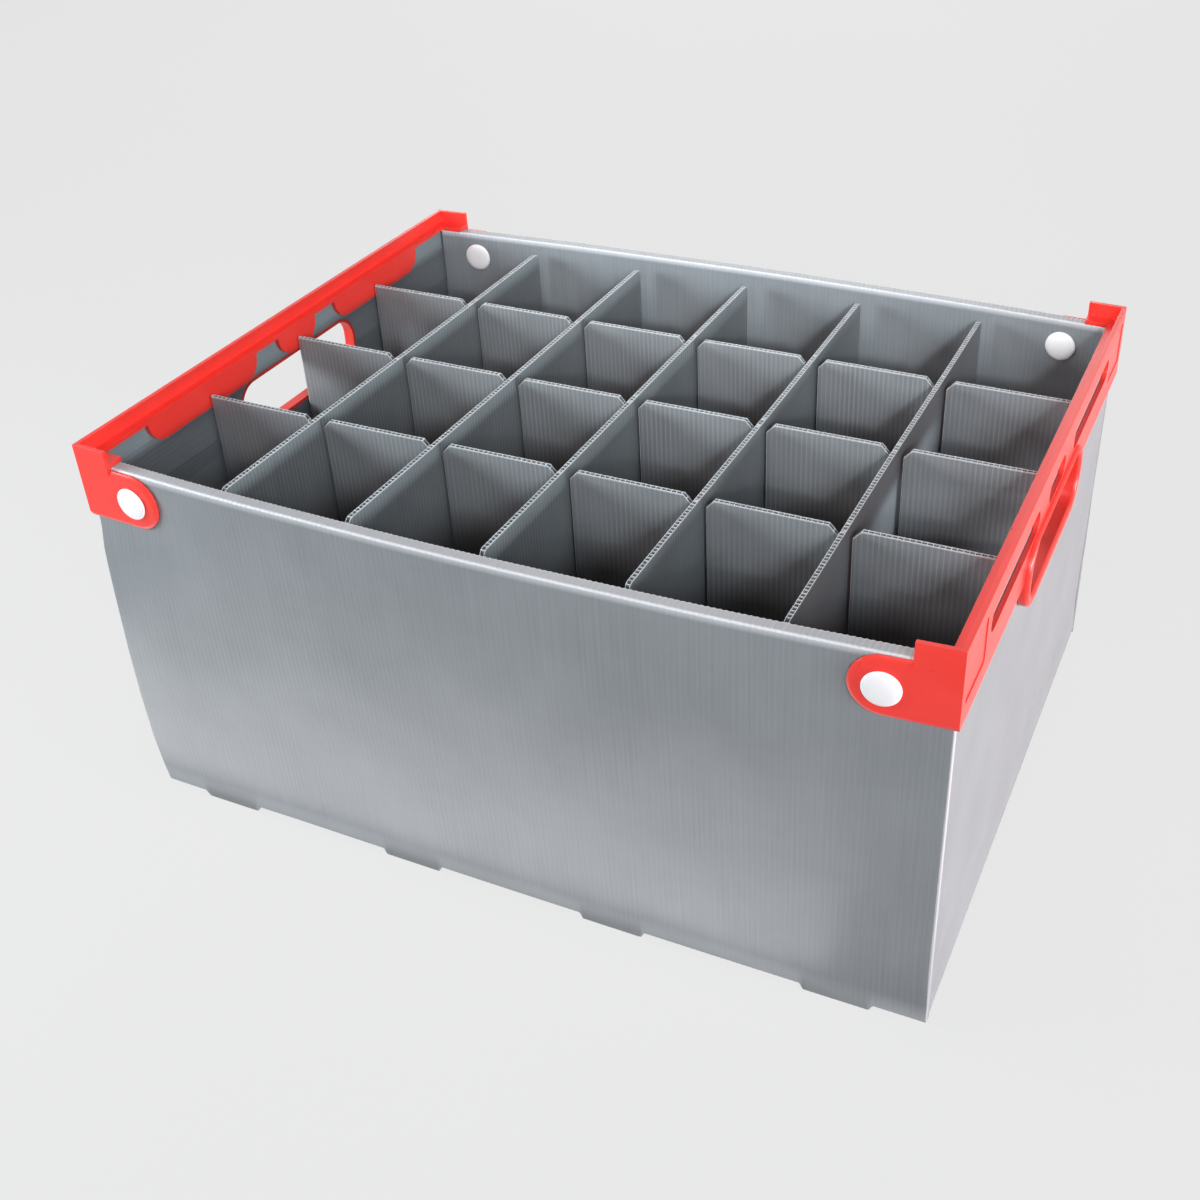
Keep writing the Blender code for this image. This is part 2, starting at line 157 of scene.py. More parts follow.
# The dividers, as in the frame
DIVIDER_HALF = 0.0015
SKIN = 0.0003
RIB = 0.00034
CUT_RIB = 0.00045  # the crushed skins along a cut edge
SLOT_HALF = 0.004
SLOT_OVERRUN = 0.001
LEAD_IN = (0.005, 0.0055)
CROSS_CORNER = 0.005
EDGE_ZONE = (0.0, 0.0010, 0.0060)  # levels that follow the shape of a divider's edge
SLOT_FADE = 0.003  # how far past a slot's end its pinched skins recover
PINCH = 0.30
PINCH_REACH = 0.0007
CRUMPLE = 0.00006
WARP = 0.00045

ARC_STEPS = 14

# The stage. A light is its name, direction, distance, size, watts, colour and target.
PALE = (0.831, 0.831, 0.831)
FLOOR_GLOW = 0.765
FLOOR_SIZE = 60.0
MIDDLE = (0.0, 0.0, 0.12)
FRONT_TABLE = (-0.12, -0.262, 0.125)
LIGHTS = (
    ("key", (0.61, -0.73, 0.33), 2.6, (0.7, 0.4), 4.5, (1.0, 1.0, 1.0), MIDDLE),
    ("high key", (0.60, -0.65, 0.50), 2.6, (0.7, 0.4), 20.0, (0.90, 1.02, 1.10), MIDDLE),
    ("front", (-0.05, -0.86, 0.50), 2.6, (1.2, 0.4), 11.0, (1.05, 0.98, 1.0), MIDDLE),
    ("left", (-0.80, -0.50, 0.35), 1.2, (0.5, 0.35), 10.8, (0.92, 1.02, 1.07), MIDDLE),
    ("side", (1.0, 0.05, -0.02), 1.6, (2.0, 0.2), 26.5, (1.22, 0.89, 0.88), MIDDLE),
    ("high side", (1.0, -0.15, 0.14), 2.4, (1.0, 0.25), 36.0, (0.88, 1.04, 1.10), MIDDLE),
    ("back", (-0.35, 1.0, 0.40), 2.6, (1.6, 0.8), 16.0, (1.0, 1.0, 1.0), MIDDLE),
    ("over", (0.0, -0.2, 1.0), 0.9, (0.5, 0.1), 2.0, (1.12, 0.94, 0.94), MIDDLE),
    ("table", (0.0, 0.0, -1.0), 0.12, (0.62, 0.11), 0.33, (1.03, 0.98, 0.99), FRONT_TABLE),
)
BOX_LIGHT = "side"  # this lamp lights only the outside, so it doesn't shine through the hand hole
SPOT_PLACE = (1.0, -2.0, 1.2)
SPOT_TARGET = (0.05, 0.2, 0.42)
SPOT_WIDTH = 16.0  # degrees
SPOT_WATTS = 150.0
SPOT_COLOUR = (0.94, 1.0, 1.04)
CAMERA_PLACE = (0.3548, -0.7121, 0.6449)
CAMERA_FORWARD = (-0.3593, 0.7499, -0.5555)
CAMERA_RIGHT = (0.9099, 0.4137, -0.0300)
CAMERA_LENS = 44.505
CAMERA_SHIFT = (-0.05, -0.029)


# ---------------------------------------------------------------- mesh helpers


def add_piece(name, points, faces, material):
    mesh = bpy.data.meshes.new(name)
    mesh.from_pydata(np.asarray(points).tolist(), [], faces)
    mesh.materials.append(material)
    piece = bpy.data.objects.new(name, mesh)
    bpy.context.scene.collection.objects.link(piece)
    return piece


def face_outwards(piece):
    sheet = bmesh.new()
    sheet.from_mesh(piece.data)
    bmesh.ops.recalc_face_normals(sheet, faces=sheet.faces)
    sheet.to_mesh(piece.data)
    sheet.free()


def shade(piece, angle=35):
    piece.data.shade_smooth()
    piece.data.set_sharp_from_angle(angle=math.radians(angle))


def points_of(piece):
    points = np.empty(len(piece.data.vertices) * 3, np.float32)
    piece.data.vertices.foreach_get("co", points)
    return points.reshape(-1, 3).astype(float)


def move_points(piece, points):
    piece.data.vertices.foreach_set("co", np.asarray(points, np.float32).ravel())
    piece.data.update()


def mark(piece, across, along, layer, wear):
    """Store each point's place on its sheet, in millimetres, and how worn it is."""
    place = piece.data.attributes.new("sheet_place", "FLOAT_VECTOR", "POINT")
    values = np.stack(np.broadcast_arrays(across, along, layer), 1) * 1000
    place.data.foreach_set("vector", values.astype(np.float32).ravel())
    worn = piece.data.attributes.new("wear", "FLOAT", "POINT")
    worn.data.foreach_set("value", np.broadcast_to(wear, len(values)).astype(np.float32))


def finish_piece(piece, body, slot, *nodes):
    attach(piece, body)
    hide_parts(*nodes)
    return piece


def smoothstep(value):
    value = np.clip(value, 0.0, 1.0)
    return value * value * (3 - 2 * value)


def between_ribs(place):
    """0 on a rib and 1 halfway to the next one."""
    return np.sin(np.pi * place / FLUTE) ** 2


def arc(centre, radius, start, end, steps):
    angles = np.radians(np.linspace(start, end, steps + 1))
    return [(centre[0] + radius * math.cos(a), centre[1] + radius * math.sin(a)) for a in angles]


# ---------------------------------------------------------------- the folded box


def bow_at(x, z):
    """How far a long wall bows outwards."""
    foot = BASE_TOP + LAYER_PLAY
    rise = np.clip((z - foot) / (BOW_TOP - foot), 0.0, 1.0)
    rise = rise - BOW_EASE * smoothstep((rise - 0.8) / 0.2) * smoothstep((1.25 - z / BOW_TOP) * 4)
    return (BOW * rise + FOOT_BOW * (1 - rise) ** 2) * np.clip(1 - (x / HALF_LENGTH) ** 2, 0.0, 1.0)


def near_long_wall(y):
    """0 in the middle of the box and 1 towards the long walls."""
    return smoothstep((np.abs(y) - 0.12) / 0.06)


def swell(points):
    """The barrel shape of the loosely held sheet: fullest low down at the left-hand corners."""
    x, y, z = points[:, 0].copy(), points[:, 1].copy(), points[:, 2]
    full = np.interp(z, SWELL_HEIGHTS, SWELL_SHARES) * smoothstep((-x - SWELL_START) / SWELL_LENGTH)
    points[:, 0] -= SWELL_OUT[0] * full
    points[:, 0] += FOOT_SPREAD * np.clip(1 - z / 0.035, 0, 1) * smoothstep((x - 0.2) / 0.05)
    points[:, 1] += np.sign(y) * SWELL_OUT[1] * full * near_long_wall(y)
    return points


def long_wall_section():
    """Matching outlines (outwards, up) of a long wall at a plain stretch and at a tongue, and how
    strongly a crease crushes the flutes at each point."""
    step = 0.00002  # a nearly upright side of the slot in a tongue
    plain = [(-HEM, BASE_FOOT), (-2 * SHEET, BASE_FOOT), (-2 * SHEET + step, BASE_FOOT)]
    plain += [(-SHEET - step, BASE_FOOT), (-SHEET, BASE_FOOT)]
    plain += arc((-FOLD_RADIUS, BASE_FOOT + FOLD_RADIUS), FOLD_RADIUS, -90, 0, 6)
    slot_roof = BASE_FOOT + 0.8 * SHEET
    tongue = [(-HEM, BASE_FOOT), (-2 * SHEET, BASE_FOOT), (-2 * SHEET, slot_roof)]
    tongue += [(-SHEET - step, slot_roof), (-SHEET, 0.0003), (-SHEET + 0.0002, 0.0)]
    tongue += [(-0.0022 + 0.00044 * i, 0.0) for i in range(5)]
    tongue += [(0.0, 0.0005)]
    crush = [0.0] * 5 + [0.4] * 7
    face_foot = BASE_FOOT + FOLD_RADIUS
    face_head = BOX_TOP - CREASE_RADIUS
    outer_face = [(0.0, face_foot + share * (face_head - face_foot)) for share in FACE_SHARES]
    crush += [0.0] * len(outer_face)
    outer_crease = arc((-CREASE_RADIUS, face_head), CREASE_RADIUS, 0, 90, 6)
    crush += [0.6, 0.9, 1.0, 1.0, 1.0, 0.9, 0.7]
    width = INNER_CREASE_RADIUS - HEM + CREASE_RADIUS
    top = [(-CREASE_RADIUS + width * share, BOX_TOP) for share in HEM_SHARES]
    crush += [0.4] * len(top)
    inner = (-HEM + INNER_CREASE_RADIUS, BOX_TOP - INNER_CREASE_RADIUS)
    inner_crease = arc(inner, INNER_CREASE_RADIUS, 90, 180, 5)
    crush += [0.7, 1.0, 1.3, 1.3, 1.0, 0.7]
    inner_foot = BASE_TOP + LAYER_PLAY
    down = FACE_SHARES[:0:-1] + (0.0,)
    inner_face = [(-HEM, inner_foot + share * (inner[1] - inner_foot)) for share in down]
    crush += [0.0] * len(inner_face)
    shared = outer_face + outer_crease + top + inner_crease + inner_face
    return np.array(plain + shared), np.array(tongue + shared), np.array(crush)


def section_normals(section):
    """A unit normal, pointing out, at each point of a closed outline."""
    ahead = np.roll(section, -1, 0) - section
    behind = section - np.roll(section, 1, 0)
    ahead /= np.maximum(np.linalg.norm(ahead, axis=1, keepdims=True), 1e-9)
    behind /= np.maximum(np.linalg.norm(behind, axis=1, keepdims=True), 1e-9)
    along = ahead + behind
    normal = np.stack((along[:, 1], -along[:, 0]), 1)
    return normal / np.maximum(np.linalg.norm(normal, axis=1, keepdims=True), 1e-9)


def make_long_wall(name, side, material):
    """Three layers of sheet folded over at the hem, with tongues that the crate stands on."""
    plain, tongue, crush = long_wall_section()
    normals = section_normals(plain)
    inner = np.arange(-INNER_REACH, INNER_REACH, FLUTE / FLUTE_STEPS)
    edge = [INNER_REACH + 0.00001]
    edge += [HALF_LENGTH - inset for inset in (0.0012, 0.0006, 0.0003, 0.0001, 0.0)]
    stations = np.array([-x for x in edge[::-1]] + list(inner) + [INNER_REACH] + edge)
    nearest = np.min(np.abs(stations[:, None] - np.array(TONGUE_CENTRES)[None, :]), axis=1)
    share = smoothstep((TONGUE_HALF - nearest) / TONGUE_SLOPE)[:, None, None]
    sections = plain * (1 - share) + tongue * share
    dip = SKIN_SAG * between_ribs(stations)[:, None] * (crush == 0)
    dip = dip + CREASE_BEAD * between_ribs(stations)[:, None] * crush
    sections = sections - dip[:, :, None] * normals[None]
    beyond = (np.abs(stations) > INNER_REACH + 0.000005)[:, None]
    out = np.where(beyond, np.maximum(sections[:, :, 0], -2 * SHEET - LAYER_PLAY), sections[:, :, 0])
    up = sections[:, :, 1]
    rounding = 0.0003
    past = np.clip(np.abs(stations) - (HALF_LENGTH - rounding), 0, rounding)
    shrink = rounding - np.sqrt(rounding**2 - past**2)
    out = np.where(out > -SHEET / 2, out - shrink[:, None], out)
    along = np.broadcast_to(stations[:, None], out.shape)
    ripple = RIPPLE * np.sin(along * 41 + side) * np.sin(up * 27 + 1.3 * side) * smoothstep(up / 0.03)
    y = side * (HALF_WIDTH + out + bow_at(along, up) + ripple - RIPPLE)
    points = np.stack((along, y, up), -1)
    count = len(plain)
    index = np.arange(points.size // 3).reshape(len(stations), count)
    a, b = index[:-1], index[1:]
    quads = np.stack((a, np.roll(a, -1, 1), np.roll(b, -1, 1), b), -1).reshape(-1, 4)
    faces = quads.tolist() + [index[0][::-1].tolist(), index[-1].tolist()]
    wall = add_piece(name, points.reshape(-1, 3), faces, material)
    face_outwards(wall)
    shade(wall, 50)
    move_points(wall, swell(points_of(wall)))
    worn = np.broadcast_to(np.clip(crush, 0, 1)[None], out.shape).ravel()
    mark(wall, along.ravel(), up.ravel(), side * 0.3, worn)
    return finish_piece(wall, "box", "box_sheet", "box_blank")


def make_folded_floor(material):
    """The base and both end walls: one sheet folded twice, with flutes along Y."""
    step = FLUTE / FLUTE_STEPS
    bend_in = BASE_BEND
    bend_out = bend_in + SHEET
    outer, inner, place = [], [], []
    for z in np.arange(BOX_TOP, BASE_FOOT + bend_out, -step):
        outer.append((HALF_LENGTH, z))
        inner.append((HALF_LENGTH - SHEET, z))
        place.append(z)
    centre = (HALF_LENGTH - bend_out, BASE_FOOT + bend_out)
    for angle in np.radians(np.linspace(0, -90, 7)):
        turn = (math.cos(angle), math.sin(angle))
        outer.append((centre[0] + bend_out * turn[0], centre[1] + bend_out * turn[1]))
        inner.append((centre[0] + bend_in * turn[0], centre[1] + bend_in * turn[1]))
        place.append(0.0)
    for x in np.arange(HALF_LENGTH - bend_out - step, 0, -step):
        outer.append((x, BASE_FOOT))
        inner.append((x, BASE_TOP))
        place.append(x)
    outer, inner, place = np.array(outer), np.array(inner), np.array(place)
    flip = np.array([-1, 1])
    outer = np.concatenate((outer, outer[::-1] * flip))
    inner = np.concatenate((inner, inner[::-1] * flip))
    place = np.concatenate((place, place[::-1]))
    outwards = outer - inner
    outwards /= np.linalg.norm(outwards, axis=1, keepdims=True)
    dip = SKIN_SAG * between_ribs(place)[:, None] * outwards
    outer = outer - dip
    inner = inner + dip
    is_base = (np.abs(outer[:, 0]) < INNER_REACH) & (outer[:, 1] < BASE_TOP)
    half = np.where(is_base, HALF_WIDTH - HEM, HALF_WIDTH - SHEET - LAYER_PLAY)
    outer_rows, inner_rows = [], []
    for inset in (0.0, 0.00012, 0.0004, 0.0008, 0.0014, 0.003, 0.02):
        past = max(SIDE_EDGE_ROUND - inset, 0.0)
        shrink = SIDE_EDGE_ROUND - math.sqrt(SIDE_EDGE_ROUND**2 - past**2)
        bead = SIDE_EDGE_BEAD * math.exp(-inset / 0.0008) * between_ribs(place)
        lowered = outer - (shrink * 0.8 + bead)[:, None] * outwards * (~is_base)[:, None]
        outer_rows.append(np.stack((lowered[:, 0], half - inset, lowered[:, 1]), 1))
        inner_rows.append(np.stack((inner[:, 0], half - inset, inner[:, 1]), 1))
    mirror = np.array([1, -1, 1])
    middle = 0 * half
    outer_middle = np.stack((outer[:, 0], middle, outer[:, 1]), 1)
    inner_middle = np.stack((inner[:, 0], middle, inner[:, 1]), 1)
    outer_rows = [row * mirror for row in outer_rows] + [outer_middle] + outer_rows[::-1]
    inner_rows = [row * mirror for row in inner_rows] + [inner_middle] + inner_rows[::-1]
    rows, count = len(outer_rows), len(outer)
    points = np.concatenate((np.array(outer_rows).reshape(-1, 3), np.array(inner_rows).reshape(-1, 3)))
    a = np.arange(rows * count).reshape(rows, count)
    b = a + rows * count
    faces = []
    for low, high in ((a[:-1], a[1:]), (b[1:], b[:-1])):
        faces += np.stack((low[:, :-1], low[:, 1:], high[:, 1:], high[:, :-1]), -1).reshape(-1, 4).tolist()
    for edge in (0, -1):
        faces += np.stack((a[:-1, edge], a[1:, edge], b[1:, edge], b[:-1, edge]), -1).tolist()
        faces += np.stack((a[edge, :-1], a[edge, 1:], b[edge, 1:], b[edge, :-1]), -1).tolist()
    floor = add_piece("folded_floor", points, faces, material)
    face_outwards(floor)
    hole = hand_hole_outline(COLLAR_WALL + GAP)
    for end in (-1, 1):
        span = sorted((end * (HALF_LENGTH - 2 * SHEET), end * (HALF_LENGTH + SHEET)))
        combine(floor, loft("cutter", [on_x(hole, x) for x in span], material), "DIFFERENCE")
    shade(floor, 40)
    at = points_of(floor)
    is_wall = at[:, 2] > BASE_FOOT + bend_out
    across = np.where(is_wall, at[:, 2], at[:, 0])
    layer = np.where(is_wall, np.sign(at[:, 0]) * 0.2, 0.0)
    corner = np.clip((np.abs(at[:, 1]) - 0.1875) / 0.001, 0, 1) * is_wall
    fold = np.clip(1 - np.hypot(HALF_LENGTH - np.abs(at[:, 0]), at[:, 2] - BASE_FOOT) / 0.003, 0, 1)
    mark(floor, across, at[:, 1], layer, np.clip(0.25 * corner + 0.35 * fold, 0, 1))
    reach = near_long_wall(at[:, 1]) * (at[:, 2] < BASE_TOP + 0.001)
    at[:, 1] += np.sign(at[:, 1]) * reach * bow_at(at[:, 0], BASE_TOP)
    move_points(floor, swell(at))
    return finish_piece(floor, "box", "box_sheet", "box_blank")


# ---------------------------------------------------------------- the dividers


def merged_lines(values, least=0.00003):
    """The values in order, without those that come too close after another."""
    lines = []
    for value in sorted(values):
        if not lines or value - lines[-1] > least:
            lines.append(value)
    return np.array(lines)


def shell_of_cells(lines, solid):
    """Points and outward quads round the filled cells of a grid, and each point's grid indices."""
    padded = np.pad(solid, 1)
    shape = np.array(solid.shape) + 1
    stride = np.array((shape[1] * shape[2], shape[2], 1))
    quads = []
    for axis in range(3):
        for side in (0, 1):
            beside = np.roll(padded, 1 - 2 * side, axis)[1:-1, 1:-1, 1:-1]
            cells = np.argwhere(solid & ~beside)
            corners = []
            for du, dv in ((0, 0), (1, 0), (1, 1), (0, 1)):
                index = cells.copy()
                index[:, axis] += side
                index[:, (axis + 1) % 3] += du
                index[:, (axis + 2) % 3] += dv
                corners.append(index @ stride)
            quad = np.stack(corners, 1)
            quads.append(quad if side else quad[:, ::-1])
    used, faces = np.unique(np.concatenate(quads), return_inverse=True)
    index = np.stack(np.unravel_index(used, shape), 1)
    points = np.stack([lines[axis][index[:, axis]] for axis in range(3)], 1)
    return points, faces.reshape(-1, 4), index


def edge_heights(along, reach, slots, slot_is_above, corner):
    """Height lost at each place along a divider's slotted edge and along its other edge."""
    width, depth = LEAD_IN
    loss = np.zeros_like(along)
    for centre in slots:
        away = np.abs(along - centre) - SLOT_HALF
        chamfer = depth * (1 - away / width)
        loss = np.maximum(loss, np.where(away > -1e-7, np.clip(chamfer, 0, depth), 0))
    past = np.clip(np.abs(along) - (reach - corner), 0, corner) if corner else np.zeros_like(along)
    rounded = corner - np.sqrt(np.maximum(corner**2 - past**2, 0))
    slotted = np.maximum(loss, rounded)
    return (slotted, rounded) if slot_is_above else (rounded, slotted)


def make_divider(name, node, body, slots, slot_is_above, corner, seed, material):
    """A twin-wall sheet: two skins joined by ribs, open from its foot to its head between them."""
    low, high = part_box(node)
    middle = middle_of(node)
    runs_x = high.x - low.x > high.y - low.y
    reach = (high.x - low.x) / 2 if runs_x else (high.y - low.y) / 2
    foot, head = low.z, high.z
    random = np.random.default_rng(seed)
    phase = random.uniform(0, FLUTE)
    rib_centres = np.arange(-reach + phase, reach - RIB, FLUTE)
    ribs = [(centre - RIB / 2, centre + RIB / 2) for centre in rib_centres if centre - RIB / 2 > -reach]
    ribs += [(-reach, -reach + CUT_RIB), (reach - CUT_RIB, reach)]
    for centre in slots:
        ribs.append((centre - SLOT_HALF - CUT_RIB, centre - SLOT_HALF))
        ribs.append((centre + SLOT_HALF, centre + SLOT_HALF + CUT_RIB))
    along = {edge for rib in ribs for edge in rib}
    along |= {centre + side * (SLOT_HALF + LEAD_IN[0]) for centre in slots for side in (-1, 1)}
    along |= {centre + FLUTE * share for centre in rib_centres for share in (0.25, 0.5, 0.75)}
    fixed = [side * reach for side in (-1, 1)]
    fixed += [centre + side * SLOT_HALF for centre in slots for side in (-1, 1)]
    along = [value for value in along if abs(value) < reach]
    along = [value for value in along if all(abs(value - edge) > 0.00004 for edge in fixed)]
    onwards = -1 if slot_is_above else 1
    slot_end = (foot + head) / 2 + onwards * SLOT_OVERRUN
    heights = [foot + inset for inset in EDGE_ZONE] + [head - inset for inset in EDGE_ZONE]
    heights += [slot_end, slot_end + onwards * SLOT_FADE]
    lines = [
        merged_lines(along + fixed),
        np.array((-DIVIDER_HALF, -DIVIDER_HALF + SKIN, DIVIDER_HALF - SKIN, DIVIDER_HALF)),
        np.array(sorted(heights)),
    ]
    centres = [(line[:-1] + line[1:]) / 2 for line in lines]
    is_rib = np.zeros(len(centres[0]), bool)
    for start, end in ribs:
        is_rib |= (centres[0] > start) & (centres[0] < end)
    in_slot = np.zeros(len(centres[0]), bool)
    for centre in slots:
        in_slot |= np.abs(centres[0] - centre) < SLOT_HALF
    is_skin = np.abs(centres[1]) > DIVIDER_HALF - SKIN
    beyond = centres[2] > slot_end if slot_is_above else centres[2] < slot_end
    solid = (is_rib[:, None] | is_skin[None, :])[:, :, None] & ~(in_slot[:, None, None] & beyond)
    points, faces, index = shell_of_cells(lines, solid)

    s, t, z = points.T  # along the sheet, through it and up
    above, below = edge_heights(s, reach, slots, slot_is_above, corner)
    from_foot = index[:, 2]
    from_head = len(heights) - 1 - from_foot
    zone = len(EDGE_ZONE)
    z = np.where(from_head < zone, z - above, np.where(from_foot < zone, z + below, z))
    off_rib = between_ribs(s + reach - phase)
    sag = SKIN_SAG * off_rib
    cut_ends = np.array(fixed)
    to_cut = np.min(np.abs(s[:, None] - cut_ends[None]), axis=1)
    in_reach = (z > slot_end - 0.0005) if slot_is_above else (z < slot_end + 0.0005)
    near_end = np.abs(np.abs(s) - reach) < 0.003
    pinch = PINCH * np.exp(-to_cut / PINCH_REACH) * (in_reach | near_end)
    is_edge = (from_head == 0) | (from_foot == 0)
    crumple = random.normal(0, CRUMPLE, len(lines[0]))[index[:, 0]]
    z = z + np.where(from_head == 0, np.clip(crumple, -2.5 * CRUMPLE, 0), 0)
    squeeze = 1 - pinch - np.where(is_edge, 0.05 + 0.05 * off_rib, 0)
    t = np.sign(t) * (np.abs(t) - sag) * squeeze
    lean = random.uniform(-1, 1, 4)
    share = (z - foot) / (head - foot)
    long_wave = lean[0] * np.sin(s * 9 + lean[1] * 3) * share
    short_wave = lean[2] * np.sin(s * 21 + lean[3] * 3) * share**2
    t = t + WARP * (long_wave + short_wave)
    points = np.stack((s, t, z), 1) if runs_x else np.stack((-t, s, z), 1)
    points[:, 0] += middle.x
    points[:, 1] += middle.y
    divider = add_piece(name, points, faces.tolist(), material)
    shade(divider, 40)
    at_cut = (to_cut < 0.0002) & (in_reach | near_end)
    worn = np.where(is_edge | at_cut, 1.0, 0.0)
    mark(divider, s + reach - phase, z, 0.1 * seed, worn)
    return finish_piece(divider, body, "divider_sheet", node)


# ---------------------------------------------------------------- moulded pieces


def on_x(outline, x):
    return [(x, a, b) for a, b in outline]


def on_y(outline, y):
    return [(a, y, b) for a, b in outline]


def outline_of(corners):
    """Points round an outline whose corners are (a, b, radius), each rounded by its radius."""
    points = []
    for i, (a, b, radius) in enumerate(corners):
        if radius == 0:
            points.append((a, b))
            continue
        before = corners[i - 1]
        after = corners[(i + 1) % len(corners)]
        back = math.atan2(before[1] - b, before[0] - a)
        ahead = math.atan2(after[1] - b, after[0] - a)
        turn = (ahead - back + math.pi) % (2 * math.pi) - math.pi
        middle = back + turn / 2
        reach = radius / math.sin(abs(turn) / 2)
        centre = (a + reach * math.cos(middle), b + reach * math.sin(middle))
        sweep = math.copysign(math.pi - abs(turn), turn)
        for step in range(ARC_STEPS + 1):
            angle = middle + math.pi + sweep * (0.5 - step / ARC_STEPS)
            points.append((centre[0] + radius * math.cos(angle), centre[1] + radius * math.sin(angle)))
    return points


def rounded_box(a_low, a_high, b_low, b_high, lower_radius, upper_radius):
    return outline_of(
        (
            (a_low, b_low, lower_radius),
            (a_high, b_low, lower_radius),
            (a_high, b_high, upper_radius),
            (a_low, b_high, upper_radius),
        )
    )


def hand_hole_outline(margin):
    """The hand hole, made larger all round by a margin."""
    half, foot, head = HAND_HOLE
    radius = HAND_HOLE_RADIUS + margin
    return rounded_box(-half - margin, half + margin, foot - margin, head + margin, radius, radius)


def loft(name, rings, material):
    """A closed body through rings of points that match one to one, with a flat cap at each end."""
    count = len(rings[0])
    points = [point for ring in rings for point in ring]
    faces = [list(range(count))[::-1], list(range(len(points) - count, len(points)))]
    for level in range(len(rings) - 1):
        start = level * count
        for i in range(count):
            j = (i + 1) % count
            faces.append((start + i, start + j, start + count + j, start + count + i))
    body = add_piece(name, points, faces, material)
    face_outwards(body)
    return body


def block(name, low, high, material):
    outline = [(low[1], low[2]), (high[1], low[2]), (high[1], high[2]), (low[1], high[2])]
    return loft(name, [on_x(outline, low[0]), on_x(outline, high[0])], material)


def combine(body, tool, operation="UNION"):
    """Join the tool to the body, or cut it away, and discard the tool."""
    modifier = body.modifiers.new(operation, "BOOLEAN")
    modifier.operation = operation
    modifier.solver = "EXACT"
    modifier.object = tool
    apply_modifiers(body)
    bpy.data.objects.remove(tool)


def apply_modifiers(body):
    graph = bpy.context.evaluated_depsgraph_get()
    result = bpy.data.meshes.new_from_object(body.evaluated_get(graph))
    result.name = body.name
    body.modifiers.clear()
    body.data = result


def join_coplanar(body):
    """Merge the slivers that cuts leave within one flat face."""
    mesh = bmesh.new()
    mesh.from_mesh(body.data)
    bmesh.ops.remove_doubles(mesh, verts=mesh.verts, dist=0.000004)
    bmesh.ops.dissolve_degenerate(mesh, edges=mesh.edges, dist=0.000004)
    bmesh.ops.dissolve_limit(mesh, angle_limit=math.radians(0.4), verts=mesh.verts, edges=mesh.edges)
    mesh.to_mesh(body.data)
    mesh.free()


def circle(radius, x, y, z, sides=48):
    angles = [2 * math.pi * i / sides for i in range(sides)]
    return [(x + radius * math.cos(angle), y, z + radius * math.sin(angle)) for angle in angles]


def ear_outline(radius):
    """A stadium's free end (X, Z) round the rivet, running on into the corner flange."""
    root = CORNER_IN + FRAME_WALL
    angles = [math.radians(270 - 180 * i / (2 * ARC_STEPS)) for i in range(2 * ARC_STEPS + 1)]
    arc_points = [(RIVET_X + radius * math.cos(a), RIVET_Z + radius * math.sin(a)) for a in angles]
    return [(root, RIVET_Z - radius)] + arc_points + [(root, RIVET_Z + radius)]


def rim_outline(inset):
    """The raised rim round the hand hole, in from its outer edge."""
    half, foot, head = HAND_HOLE
    half += RIM_WIDTH - inset
    low = foot - RIM_WIDTH + inset
    high = head + RIM_HEADROOM - inset
    radius = HAND_HOLE_RADIUS - inset
    return rounded_box(-half, half, low, high, radius + RIM_WIDTH, radius)


